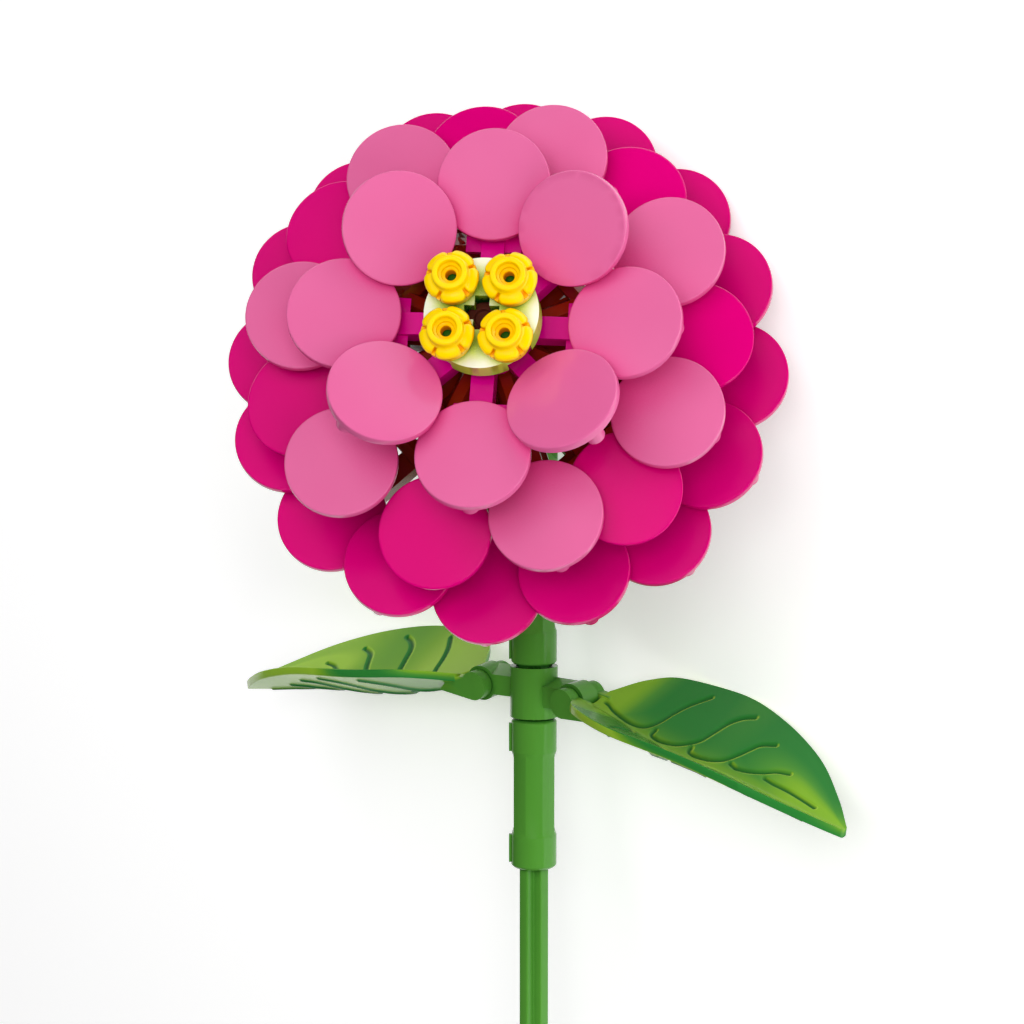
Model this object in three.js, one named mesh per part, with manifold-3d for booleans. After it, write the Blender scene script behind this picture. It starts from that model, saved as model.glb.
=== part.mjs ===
// A zinnia flower built from moulded toy bricks, lying on a table as it rests when it is put down.
//
// Units are millimetres and +Z is up in the finished model. The flower itself is built upright
// in a frame of its own: the stem runs along Y, the flower head looks towards +Z, and the origin
// is the middle of the leaf collar on the stem. The last section lays it down.

import * as THREE from 'three';
import { mergeVertices } from 'three/addons/utils/BufferGeometryUtils.js';
import Module from 'manifold-3d';

const wasm = await Module();
wasm.setup();

// ---------------------------------------------------------------- driving dimensions

const pitch = 8;                        // one module of the brick system
const gap = 0.3;                        // air kept between pieces that touch

// Petal discs: one moulding, used for every petal.
const discRadius = 7.95;
const discThickness = 1.5;
const discBevel = 0.25;
const bossRadius = 2.5;                 // socket in the middle of the back
const bossHeight = 1.7;
const pegRadius = 1.35;                 // short peg on the back, near the outer edge
const pegHeight = 1.9;
const pegReach = 6.3;
const discSegments = 20;

// Rings of petals in the head frame. radius and height place the front face of a disc and lean
// turns it towards the head's axis. The angles of the two middle rings are as they were clicked
// on by hand, so they are a little uneven.
const rings = [
  { name: 'petal_inner_low', color: 'lightPink', radius: 19.45, height: -1.1, lean: 8,
    angles: [0, 90.4, 180, 270.2] },
  { name: 'petal_inner_high', color: 'lightPink', radius: 16.85, height: 1.35, lean: 22,
    angles: [46.8, 136.3, 223.8, 315] },
  { name: 'petal_second', color: 'lightPink', radius: 27.3, height: -8.65, lean: 3.6,
    angles: [28.6, 76.2, 122.4, 175.7, 224.4, 290.6, 338.1] },
  { name: 'petal_third', color: 'magenta', radius: 28.6, height: -11.95, lean: -9.2,
    angles: [3.9, 51.5, 98.4, 146.1, 199.8, 257.6, 314.3] },
  { name: 'petal_outer_high', color: 'magenta', radius: 32.45, height: -21.15, lean: 5.7,
    angles: Array.from({ length: 8 }, (_, i) => 22.5 + i * 45) },
  { name: 'petal_outer_low', color: 'magenta', radius: 32.85, height: -23.45, lean: 2,
    angles: Array.from({ length: 8 }, (_, i) => i * 45) },
];

// Centre of the head.
const plateRadius = 7.95;
const plateTop = 0.6;                   // above the origin of the head frame
const plateThickness = 3.5;
const plateTopWall = 1.9;               // the cross-shaped hole opens into a round one below this
const skirtNotchDepth = 2.2;
const studRadius = 2.4;
const studHeight = 1.6;
const crossWidth = 4.9;
const crossArm = 2.05;
const blossomRadius = 3.8;
const blossomBase = 3.2;                // radius of the socket under the petals
const blossomBodyRadius = 3.6;          // round disc that the petals stand on
const blossomBodyBottom = 1.9;
const blossomBodyTop = 2.7;
const blossomTop = 3.8;                 // petals where they meet the ring
const blossomRingRadius = 2.45;
const blossomHeight = 5.1;
const blossomCupRadius = 1.67;
const blossomHoleRadius = 0.75;
const blossomTurn = 24;

// Bars and plates that carry the petals, and the rod they are threaded on.
const barWidth = 3.2;
const barThickness = 3.0;
const hubRadius = 6.4;
const frameHubRadius = 5.4;
const frameBarRadius = 1.6;
const frontFrameReach = 13;             // axis to the flats of the eight-sided frames
const backFrameReach = 18;
const neckRodRadius = 2.35;
const neckRodSink = 2.25;               // plate top to the end of the rod
const neckBore = 2.75;

// Stem, connectors, elbow.
const sleeveRadius = 3.57;
const ribReach = 3.93;                  // the small rib beside each end of a sleeve
const ribWidth = 0.9;
const ribLength = 4.4;
const waistRadius = 3.45;
const waistCorner = 3.1;                // where the chamfer of a sleeve's end meets its waist
const sleeveLip = 0.3;
const sleeveBore = 2.85;
const sleeveLength = 3 * pitch;
const sleeveEnd = 5.2;
const sleeveChamfer = 1.4;
const axleWidth = 4.8;
const axleArm = 1.83;
const stemAxleLength = 16 * pitch;
const axleInsert = 1.5 * pitch;         // depth of an axle end inside a connector
const axleClearance = 2;                // between the two axles inside the lower sleeve
const elbowRadius = 3.7;
const elbowArm = 1.5 * pitch;
const elbowWidth = 7.0;
const elbowCore = 3.7;                  // solid middle of the elbow

// Place of the head: a turn about X, Y and Z of the flower frame, and its reach from the elbow.
const headTurn = [-21.75, -7.53, -4.47];
const headReach = 57.8;

// Leaves: one moulding, used twice, on hinges at opposite sides of the collar.
const collarRadius = 3.74;
const collarHeight = pitch;
const hingeReach = 9.2;                 // stem axis to hinge axis
const barrelRadius = 2.8;
const armThickness = 3.3;
const hingeWidth = 7.8;
const fingerRadius = 2.3;
const fingerWidth = 1.9;
const fingerWall = 0.6;                 // outside the blind hole for the pin
const pinRadius = 1.0;
const leafStart = 3.3;                  // hinge axis to the base of the blade
const leafLift = 0.5;                   // the blade's midrib above the hinge axis
const leafLength = 49;
const leafThickness = 1.3;
// [share of the length, value]: half width in mm, fold of each half in degrees, height in mm.
const leafHalfWidths = [[0, 3.8], [0.06, 9.7], [0.15, 13.8], [0.35, 16.2], [0.55, 14.2], [0.75, 10.3],
  [0.9, 5.1], [1, 0.7]];
const leafFolds = [[0, 21.5], [0.5, 25.2], [1, 23.3]];
const leafSpine = [[0, 0], [0.3, -2.3], [0.6, -2.5], [1, -3.4]];
// yaw turns a hinge arm about the stem, roll twists it so that the leaf opens a little forwards,
// and droop is how far the leaf is folded down on its hinge.
const leaves = [
  { name: 'leaf_right', yaw: -43.3, roll: 3.5, droop: 11.1, height: -0.3 },
  { name: 'leaf_left', yaw: 142, roll: -6.7, droop: 3.1, height: 0.7 },
];

// The flower lies on its back, rolled to the side on which it rests: turns about X and Y.
const restTurn = [-9.84, 40.99];

const colors = {
  lightPink: 0xe4609c, magenta: 0xd60078, armMagenta: 0xc80078, yellow: 0xffdd00,
  lime: 0xc8e13c, darkRed: 0x6e0a00, brown: 0x3a1410, green: 0x3f8c34, leafGreen: 0x4c9a34,
};

// ---------------------------------------------------------------- helpers

const rad = THREE.MathUtils.degToRad;
const xAxis = new THREE.Vector3(1, 0, 0);
const yAxis = new THREE.Vector3(0, 1, 0);
const zAxis = new THREE.Vector3(0, 0, 1);
const diagonals = [45, 135, 225, 315];

function material(colorName) {
  return new THREE.MeshStandardMaterial({ color: colors[colorName], roughness: 0.25, metalness: 0 });
}

// Turns a closed geometry into a solid: shared corners are merged and empty triangles left out.
function solid(geometry) {
  const bare = geometry.clone();
  bare.deleteAttribute('normal');
  bare.deleteAttribute('uv');
  const merged = mergeVertices(bare, 1e-4);
  const kept = [];
  for (let i = 0; i < merged.index.count; i += 3) {
    const [a, b, c] = [0, 1, 2].map((k) => merged.index.getX(i + k));
    if (a !== b && b !== c && c !== a) kept.push(a, b, c);
  }
  return new wasm.Manifold(new wasm.Mesh({
    numProp: 3,
    vertProperties: Float32Array.from(merged.attributes.position.array),
    triVerts: Uint32Array.from(kept),
  }));
}

function geometryOf(body) {
  const mesh = body.getMesh();
  const geometry = new THREE.BufferGeometry();
  geometry.setAttribute('position', new THREE.BufferAttribute(mesh.vertProperties, 3));
  geometry.setIndex(new THREE.BufferAttribute(mesh.triVerts, 1));
  geometry.computeVertexNormals();
  return geometry;
}

function named(name, colorName, body) {
  const mesh = new THREE.Mesh(geometryOf(body), material(colorName));
  mesh.name = name;
  return mesh;
}

// A round solid about Z from [radius, z] points that start and end on the axis, listed upwards.
function turned(points, segments) {
  const profile = points.map(([r, z]) => new THREE.Vector2(r, z));
  return solid(new THREE.LatheGeometry(profile, segments).rotateX(Math.PI / 2));
}

function rod(radius, z0, z1, segments = 16) {
  return turned([[0, z0], [radius, z0], [radius, z1], [0, z1]], segments);
}

function block(width, depth, height, x = 0, y = 0, z = 0) {
  return solid(new THREE.BoxGeometry(width, depth, height).translate(x, y, z));
}

function union(bodies) {
  return bodies.reduce((all, body) => all.add(body));
}

// Moves a body by a three.js matrix.
function moved(body, matrix) {
  return solid(geometryOf(body).applyMatrix4(matrix));
}

function shifted(body, x, y, z) {
  return moved(body, new THREE.Matrix4().makeTranslation(x, y, z));
}

function spun(body, axis, degrees) {
  return moved(body, new THREE.Matrix4().makeRotationAxis(axis, rad(degrees)));
}

// A smooth curve through a short list of [share, value] points, read by its share from 0 to 1.
function profileCurve(points) {
  const curve = new THREE.CatmullRomCurve3(
    points.map(([share, value]) => new THREE.Vector3(share, value, 0)), false, 'catmullrom', 0.5);
  const samples = curve.getPoints(120);
  return (share) => {
    const next = Math.max(1, samples.findIndex((p) => p.x >= share - 1e-9));
    const [a, b] = [samples[next - 1], samples[next]];
    return THREE.MathUtils.lerp(a.y, b.y, (share - a.x) / (b.x - a.x));
  };
}

// ---------------------------------------------------------------- petals

// A petal disc in its own frame: the face looks towards +Z at z = 0 and +X points outwards.
function petalBody() {
  const r = discRadius;
  const t = discThickness;
  const b = discBevel;
  const disc = turned([[0, -t], [r, -t], [r, -b], [r - b, 0], [0, 0]], discSegments);
  const boss = rod(bossRadius, -t - bossHeight, -t / 2, 8);
  const peg = shifted(rod(pegRadius, -t - pegHeight, -t / 2, 8), pegReach, 0, 0);
  return union([disc, boss, peg]);
}

// Where a disc of a ring sits in the head frame.
function petalPlace(ring, angle) {
  return new THREE.Matrix4().makeRotationZ(rad(angle))
    .multiply(new THREE.Matrix4().makeTranslation(ring.radius, 0, ring.height))
    .multiply(new THREE.Matrix4().makeRotationY(rad(-ring.lean)));
}

function addPetals(head) {
  const body = petalBody();
  for (const ring of rings) {
    ring.angles.forEach((angle, index) => {
      const petal = named(`${ring.name}_${index + 1}`, ring.color, body);
      petal.applyMatrix4(petalPlace(ring, angle));
      head.add(petal);
    });
  }
}

// ---------------------------------------------------------------- carriers inside the head

const ringOf = Object.fromEntries(rings.map((ring) => [ring.name, ring]));

// The pad under a disc's socket, in the disc's frame, with its top a gap below the socket.
function padBody(pad) {
  const top = -(discThickness + bossHeight + gap);
  return block(pad.length, pad.width, pad.thickness, pad.shift, 0, top - pad.thickness / 2);
}

// Height of the top of a ring's bars in the head frame, just below its tilted sockets.
function barTop(ring) {
  const reach = discThickness + bossHeight + gap;
  const lean = rad(Math.abs(ring.lean));
  return ring.height - reach * Math.cos(lean) - bossRadius * Math.sin(lean);
}

// Bars from the hub to every disc of a ring, with a pad at each end.
function ringBars(ring, top, pad) {
  const start = neckBore + 1;
  const end = ring.radius + pad.past;
  const bar = block(end - start, barWidth, barThickness, (start + end) / 2, 0, top - barThickness / 2);
  const body = padBody(pad);
  return ring.angles.flatMap((angle) => [
    spun(bar, zAxis, angle),
    moved(body, petalPlace(ring, angle)),
  ]);
}

function carrier(name, colorName, topZ, bottomZ, bars) {
  const hub = rod(hubRadius, bottomZ, topZ, 16);
  const bore = rod(neckBore, bottomZ - 1, topZ + 1, 16);
  return named(name, colorName, union([hub, ...bars]).subtract(bore));
}

const frontTop = -plateThickness - gap;
const frontBarTop = barTop(ringOf.petal_inner_low);
const frontBottom = frontBarTop - barThickness;
const middleTop = barTop(ringOf.petal_second);
const middleBottom = barTop(ringOf.petal_third) - barThickness;
const backTop = barTop(ringOf.petal_outer_high);
const backBottom = barTop(ringOf.petal_outer_low) - barThickness;

function addCarriers(head) {
  const rimPlate = { width: 7.8, length: 9.5, thickness: 1.6, shift: -4.2, past: 1 };
  const wedge = { width: 6.4, length: 7, thickness: 3.4, shift: -1, past: 1 };
  head.add(carrier('carrier_front', 'armMagenta', frontTop, frontBottom, [
    ...ringBars(ringOf.petal_inner_low, frontBarTop, rimPlate),
    ...ringBars(ringOf.petal_inner_high, frontBarTop, wedge),
  ]));

  const pad = { width: 4.6, length: 5, thickness: 1.6, shift: 0, past: 2.3 };
  head.add(carrier('carrier_middle', 'darkRed', middleTop, middleBottom, [
    ...ringBars(ringOf.petal_second, middleTop, pad),
    ...ringBars(ringOf.petal_third, middleBottom + barThickness, pad),
  ]));
  head.add(carrier('carrier_back', 'darkRed', backTop, backBottom, [
    ...ringBars(ringOf.petal_outer_high, backTop, pad),
    ...ringBars(ringOf.petal_outer_low, backBottom + barThickness, pad),
  ]));
}

// An eight-sided frame of round bars with spokes, a spacer between two carriers.
function barFrame(name, topZ, bottomZ, reach) {
  const middle = (topZ + bottomZ) / 2;
  const corner = reach / Math.cos(rad(22.5));
  const halfSide = corner * Math.sin(rad(22.5)) + frameBarRadius / 2;
  const rail = shifted(spun(rod(frameBarRadius, -halfSide, halfSide, 6), xAxis, 90), reach, 0, middle);
  const spoke = shifted(spun(rod(frameBarRadius, neckBore + 1, corner, 6), yAxis, 90), 0, 0, middle);
  const bars = [];
  for (let turn = 0; turn < 360; turn += 45) {
    bars.push(spun(rail, zAxis, turn), spun(spoke, zAxis, turn + 22.5));
  }
  const hub = rod(frameHubRadius, bottomZ, topZ, 16);
  const bore = rod(neckBore, bottomZ - 1, topZ + 1, 16);
  return named(name, 'darkRed', union([hub, ...bars]).subtract(bore));
}

function addFrames(head) {
  head.add(barFrame('frame_front', frontBottom - gap, middleTop + gap, frontFrameReach));
  head.add(barFrame('frame_back', middleBottom - gap, backTop + gap, backFrameReach));
}

// ---------------------------------------------------------------- centre of the head

// A round 2 by 2 plate with a cross-shaped hole, four studs and a skirt notched at its corners.
function centerPlateBody() {
  const bottom = -plateThickness;
  const plate = rod(plateRadius, bottom, 0, 28);
  const reach = pitch / Math.SQRT2;
  const stud = shifted(rod(studRadius, -gap, studHeight, 10), reach, 0, 0);
  const studs = diagonals.map((angle) => spun(stud, zAxis, angle));
  const notch = block(3, 4.2, skirtNotchDepth, plateRadius, 0, bottom + skirtNotchDepth / 2 - gap);
  const notches = diagonals.map((angle) => spun(notch, zAxis, angle));
  const hole = union([
    rod(studRadius + gap, bottom - 1, -plateTopWall, 16),
    block(crossWidth, crossArm, 2 * plateThickness),
    block(crossArm, crossWidth, 2 * plateThickness),
  ]);
  return union([plate, ...studs]).subtract(union([hole, ...notches]));
}

// A small five-petalled flower that clips on a stud: petals, a raised ring and a hole through.
function blossomBody() {
  const socketTop = studHeight + gap;
  const r = blossomRadius;
  const petals = turned([[0, gap], [blossomBase, gap], [blossomBase, blossomBodyBottom],
    [blossomBodyRadius, blossomBodyBottom], [blossomBodyRadius, blossomBodyTop], [r, blossomBodyTop],
    [r, blossomBodyTop + 0.4], [r - 0.3, blossomTop - 0.4], [blossomRingRadius, blossomTop],
    [0, blossomTop]], 15);
  const slot = block(1.2, 0.7, 2, r - 0.5, 0, blossomBodyTop + 1);
  const slots = [0, 1, 2, 3, 4].map((i) => spun(slot, zAxis, i * 72));
  const ring = rod(blossomRingRadius, gap, blossomHeight, 15);
  const socket = rod(studRadius + 0.2, -1, socketTop, 12);
  const cup = rod(blossomCupRadius, blossomHeight - 1.2, blossomHeight + 1, 12);
  const hole = rod(blossomHoleRadius, 0, blossomHeight + 1, 8);
  return union([petals, ring]).subtract(union([...slots, socket, cup, hole]));
}

function addCenter(head) {
  const plate = named('center_plate', 'lime', centerPlateBody());
  plate.position.z = plateTop;
  head.add(plate);
  const body = blossomBody();
  const reach = pitch / Math.SQRT2;
  diagonals.forEach((angle, index) => {
    const blossom = named(`blossom_${index + 1}`, 'yellow', body);
    blossom.position.set(reach * Math.cos(rad(angle)), reach * Math.sin(rad(angle)), plateTop);
    blossom.rotation.z = rad(blossomTurn);
    head.add(blossom);
  });
}

// ---------------------------------------------------------------- neck and stem

function sleeveBody(length) {
  const r = sleeveRadius;
  const slope = sleeveEnd + sleeveChamfer;
  const end = [[0, 0], [r - sleeveLip, 0], [r, sleeveLip], [r, sleeveEnd], [waistCorner, slope], [0, slope]];
  const bottom = turned(end, 20);
  const top = shifted(spun(bottom, xAxis, 180), 0, 0, length);
  const waist = spun(rod(waistRadius, sleeveEnd, length - sleeveEnd, 8), zAxis, 22.5);
  const ribs = [0.8, length - ribLength - 0.8].map((low) => (
    block(ribReach - 3, ribWidth, ribLength, -(ribReach + 3) / 2, 0, low + ribLength / 2)));
  return union([bottom, waist, top, ...ribs]).subtract(rod(sleeveBore, -1, length + 1, 16));
}

function axleBody(length) {
  const arm = block(axleWidth, axleArm, length, 0, 0, length / 2);
  return spun(arm.add(spun(arm, zAxis, 90)), zAxis, 45);
}

// The rod runs from the elbow through the sleeve, the carriers and the centre plate. Its end is
// chamfered and dished.
function neckRodBody() {
  const r = neckRodRadius;
  const bottom = -(headReach - elbowCore - gap);
  const top = plateTop - neckRodSink;
  const dish = rod(1.25, top - 0.5, top + 1, 16);
  return turned([[0, bottom], [r, bottom], [r, top - gap], [r - gap, top], [0, top]], 16).subtract(dish);
}

function addNeck(head) {
  head.add(named('neck_rod', 'brown', neckRodBody()));
  const front = backBottom - gap;
  const back = -(headReach - elbowArm - gap);
  const bore = rod(sleeveBore, back - 1, front + 1, 16);
  head.add(named('neck_sleeve', 'darkRed', rod(elbowRadius, back, front, 24).subtract(bore)));
}

// Two hollow arms on a round hub. One goes down over the stem axle and the other along the
// head's axis over the neck rod.
function elbowBody(headAxis) {
  const arm = rod(elbowRadius, 0, elbowArm, 24);
  const bore = rod(sleeveBore, elbowCore, elbowArm + 1, 16);
  const down = new THREE.Matrix4().makeRotationX(rad(90));
  const along = new THREE.Matrix4().makeRotationFromQuaternion(
    new THREE.Quaternion().setFromUnitVectors(zAxis, headAxis));
  const hub = spun(rod(elbowRadius, -elbowWidth / 2, elbowWidth / 2, 24), yAxis, 90);
  const hole = spun(rod(studRadius, -elbowWidth, elbowWidth, 12), yAxis, 90);
  return union([hub, moved(arm, down), moved(arm, along)])
    .subtract(union([hole, moved(bore, down), moved(bore, along)]));
}

// A piece built along +Z, stood on the stem with its lower end at the given height.
function onStem(mesh, height) {
  mesh.rotation.x = -Math.PI / 2;
  mesh.position.y = height;
  return mesh;
}

const elbowHeight = collarHeight / 2 + sleeveLength + elbowArm;

function addStem(flower) {
  const collarHalf = collarHeight / 2;
  const lowerEnd = -collarHalf - sleeveLength;
  const axleTop = lowerEnd + axleInsert;
  const innerEnd = axleTop + axleClearance;
  const innerLength = elbowHeight - elbowCore - gap - innerEnd;
  flower.add(onStem(named('stem_axle', 'green', axleBody(stemAxleLength)), axleTop - stemAxleLength));
  flower.add(onStem(named('stem_axle_inner', 'green', axleBody(innerLength)), innerEnd));
  flower.add(onStem(named('sleeve_lower', 'green', sleeveBody(sleeveLength - gap)), lowerEnd));
  flower.add(onStem(named('sleeve_upper', 'green', sleeveBody(sleeveLength - 2 * gap)), collarHalf + gap));
}

// ---------------------------------------------------------------- leaves and their hinges

// A flat arm that reaches from the collar to a round barrel, with a pin at both sides of it.
function armBody() {
  const width = hingeWidth - 2 * fingerWidth - 2 * gap;
  const start = sleeveBore + 0.4;
  const shank = block(hingeReach - start, armThickness, width, (hingeReach + start) / 2, 0, 0);
  const barrel = shifted(rod(barrelRadius, -width / 2, width / 2, 16), hingeReach, 0, 0);
  const pinReach = hingeWidth / 2 - fingerWall - gap;
  const pin = shifted(rod(pinRadius, -pinReach, pinReach, 10), hingeReach, 0, 0);
  return union([shank, barrel, pin]);
}

function collarBody() {
  const barrel = spun(rod(collarRadius, -collarHeight / 2, collarHeight / 2, 24), xAxis, 90);
  const bore = spun(rod(sleeveBore, -collarHeight, collarHeight, 16), xAxis, 90);
  const arm = armBody();
  const arms = leaves.map((leaf) => {
    const twisted = spun(arm, xAxis, leaf.roll);
    return shifted(spun(twisted, yAxis, leaf.yaw), 0, leaf.height, 0);
  });
  return union([barrel, ...arms]).subtract(bore);
}

// The folded, curved blade: a slab with many small faces, bent to the leaf's outline.
function bladeBody() {
  const halfWidth = profileCurve(leafHalfWidths);
  const fold = profileCurve(leafFolds);
  const spine = profileCurve(leafSpine);
  const slab = new THREE.BoxGeometry(1, 1, 2, 16, 1, 6).translate(0.5, -0.5, 0);
  const position = slab.attributes.position;
  for (let i = 0; i < position.count; i += 1) {
    const share = position.getX(i);
    const across = position.getZ(i) * halfWidth(share);
    const angle = rad(fold(share));
    const height = spine(share) + Math.abs(across) * Math.sin(angle) + position.getY(i) * leafThickness;
    position.setXYZ(i, share * leafLength, height, across * Math.cos(angle));
  }
  return shifted(solid(slab), leafStart, leafLift, 0);
}

// A leaf in its own frame: the hinge axis is Z, the blade runs along +X and opens upwards.
function leafBody() {
  const start = hingeWidth / 2 - fingerWidth;
  const knuckle = rod(fingerRadius, start, hingeWidth / 2, 16);
  const arm = block(leafStart + 2, 1.6 * fingerRadius, fingerWidth,
    leafStart / 2 + 1, -0.2 * fingerRadius, start + fingerWidth / 2);
  const hole = rod(pinRadius + gap, start - 1, hingeWidth / 2 - fingerWall, 10);
  const finger = knuckle.add(arm).subtract(hole);
  return union([bladeBody(), finger, spun(finger, xAxis, 180)]);
}

function addLeaves(flower) {
  flower.add(named('leaf_collar', 'green', collarBody()));
  const body = leafBody();
  for (const leaf of leaves) {
    const mesh = named(leaf.name, 'leafGreen', body);
    const arm = new THREE.Group();
    mesh.position.x = hingeReach;
    mesh.rotation.z = rad(-leaf.droop);
    arm.rotation.set(rad(leaf.roll), rad(leaf.yaw), 0, 'YXZ');
    arm.position.y = leaf.height;
    arm.add(mesh);
    flower.add(arm);
  }
}

// ---------------------------------------------------------------- the whole flower

function buildFlower() {
  const flower = new THREE.Group();
  addStem(flower);
  addLeaves(flower);

  const head = new THREE.Group();
  head.rotation.set(...headTurn.map(rad));
  const headAxis = zAxis.clone().applyEuler(head.rotation);
  const elbow = named('elbow', 'green', elbowBody(headAxis));
  elbow.position.y = elbowHeight;
  head.position.copy(elbow.position).addScaledVector(headAxis, headReach);
  addPetals(head);
  addCarriers(head);
  addFrames(head);
  addCenter(head);
  addNeck(head);
  flower.add(elbow, head);
  return flower;
}

// Lays the flower down and puts the middle of its footprint on the origin.
function layDown(flower) {
  flower.rotation.set(rad(restTurn[0]), rad(restTurn[1]), 0, 'XYZ');
  flower.updateMatrixWorld(true);
  const box = new THREE.Box3().setFromObject(flower, true);
  const middle = box.getCenter(new THREE.Vector3());
  flower.position.set(-middle.x, -middle.y, -box.min.z);
  return new THREE.Group().add(flower);
}

export default layDown(buildFlower());
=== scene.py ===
"""A zinnia flower of moulded toy bricks, lying on its back as it rests on a table.

Every piece is built at its real size in millimetres, in the same frames as the CAD solids, and
stands in place of its solid. The flower frame has the stem along Y, the head looking to +Z and
its origin in the middle of the leaf collar. The head frame has its origin just under the top
of the centre plate, with +Z out of the flower's face.
"""
import math

import bpy
import numpy as np
from mathutils import Matrix, Vector


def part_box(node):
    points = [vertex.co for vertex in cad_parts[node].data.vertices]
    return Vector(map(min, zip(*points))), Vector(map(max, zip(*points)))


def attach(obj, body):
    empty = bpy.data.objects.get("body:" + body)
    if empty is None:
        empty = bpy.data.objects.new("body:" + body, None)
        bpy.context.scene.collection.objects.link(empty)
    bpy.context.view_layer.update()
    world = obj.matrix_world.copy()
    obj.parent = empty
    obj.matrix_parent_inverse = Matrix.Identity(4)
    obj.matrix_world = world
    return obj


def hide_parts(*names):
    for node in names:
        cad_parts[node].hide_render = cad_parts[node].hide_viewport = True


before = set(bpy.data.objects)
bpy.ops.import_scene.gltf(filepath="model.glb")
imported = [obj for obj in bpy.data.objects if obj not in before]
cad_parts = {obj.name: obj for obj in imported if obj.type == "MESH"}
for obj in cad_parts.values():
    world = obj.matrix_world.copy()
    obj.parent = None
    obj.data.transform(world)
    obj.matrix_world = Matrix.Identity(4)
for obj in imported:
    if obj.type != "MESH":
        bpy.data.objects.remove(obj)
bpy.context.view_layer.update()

MM = 0.001
X, Y, Z = Vector((1, 0, 0)), Vector((0, 1, 0)), Vector((0, 0, 1))

# ---------------------------------------------------------------- sizes, in millimetres

PITCH = 8.0
GAP = 0.3
DISC_RADIUS = 7.95
DISC_THICKNESS = 1.5
DISC_DOME = 0.12
DISC_EDGE = 0.28
BOSS_RADIUS = 2.5
BOSS_HEIGHT = 1.7
PEG_RADIUS = 1.35
PEG_HEIGHT = 1.9
PEG_REACH = 6.3

# name, colour, radius, height, lean, angles: as in the CAD. All were fitted to the photo, so the
# uneven angles of the two middle rings may be the toy's own or an error of the fit.
RINGS = [
    ("petal_inner_low", "petal_light", 19.45, -1.1, 8, [0, 90.4, 180, 270.2]),
    ("petal_inner_high", "petal_light", 16.85, 1.35, 22, [46.8, 136.3, 223.8, 315]),
    ("petal_second", "petal_light", 27.3, -8.65, 3.6,
     [28.6, 76.2, 122.4, 175.7, 224.4, 290.6, 338.1]),
    ("petal_third", "petal_magenta", 28.6, -11.95, -9.2,
     [3.9, 51.5, 98.4, 146.1, 199.8, 257.6, 314.3]),
    ("petal_outer_high", "petal_magenta", 32.45, -21.15, 5.7, [22.5 + 45 * i for i in range(8)]),
    ("petal_outer_low", "petal_magenta", 32.85, -23.45, 2, [45 * i for i in range(8)]),
]

PLATE_RADIUS = 7.95
PLATE_TOP = 0.6
PLATE_THICKNESS = 3.5
PLATE_TOP_WALL = 1.9
SKIRT_NOTCH_DEPTH = 2.2
STUD_RADIUS = 2.4
STUD_HEIGHT = 1.6
CROSS_WIDTH = 4.9
CROSS_ARM = 2.05
BLOSSOM_RADIUS = 3.8
BLOSSOM_BASE = 3.2
BLOSSOM_BODY = 3.6
BLOSSOM_BODY_BOTTOM = 1.9
BLOSSOM_BODY_TOP = 2.7
BLOSSOM_RING = 2.45
BLOSSOM_HEIGHT = 5.1
BLOSSOM_CUP = 1.67
BLOSSOM_HOLE = 0.75
BLOSSOM_TURN = 27

NECK_ROD_RADIUS = 2.35
NECK_ROD_SINK = 2.25
NECK_SLEEVE_FRONT = -30.27
SLEEVE_RADIUS = 3.57
RIB_REACH = 3.93
RIB_WIDTH = 0.9
RIB_LENGTH = 4.4
WAIST_RADIUS = 3.45
SLEEVE_BORE = 2.85
SLEEVE_LENGTH = 3 * PITCH
SLEEVE_END = 5.2
SLEEVE_CHAMFER = 1.4
ELBOW_RADIUS = 3.7
ELBOW_ARM = 1.5 * PITCH
ELBOW_WIDTH = 7.0
ELBOW_CORE = 3.7
AXLE_WIDTH = 4.8
AXLE_ARM = 1.83
STEM_AXLE_LENGTH = 16 * PITCH
AXLE_INSERT = 1.5 * PITCH

HEAD_TURN = (-21.75, -7.53, -4.47)
HEAD_REACH = 57.8
REST_TURN = (-9.84, 40.99)

COLLAR_RADIUS = 3.74
COLLAR_HEIGHT = PITCH
HINGE_REACH = 9.2
BARREL_RADIUS = 2.8
ARM_THICKNESS = 3.3
HINGE_WIDTH = 7.8
FINGER_RADIUS = 2.3
FINGER_WIDTH = 1.9
LEAF_START = 3.3
LEAF_LIFT = 0.5
LEAF_LENGTH = 49
LEAF_THICKNESS = 1.3
# Half width in mm, fold in degrees and height of the midrib in mm, each at shares of the blade's
# length, as fitted to the photo.
LEAF_HALF_WIDTHS = [(0, 3.8), (0.06, 9.7), (0.15, 13.8), (0.35, 16.2), (0.55, 14.2),
                    (0.75, 10.3), (0.9, 5.1), (1, 0.7)]
LEAF_FOLDS = [(0, 21.5), (0.5, 25.2), (1, 23.3)]
LEAF_SPINE = [(0, 0), (0.3, -2.3), (0.6, -2.5), (1, -3.4)]
# name, yaw, roll, droop, height
LEAVES = [("leaf_right", -43.3, 3.5, 11.1, -0.3), ("leaf_left", 142, -6.7, 3.1, 0.7)]
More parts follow.
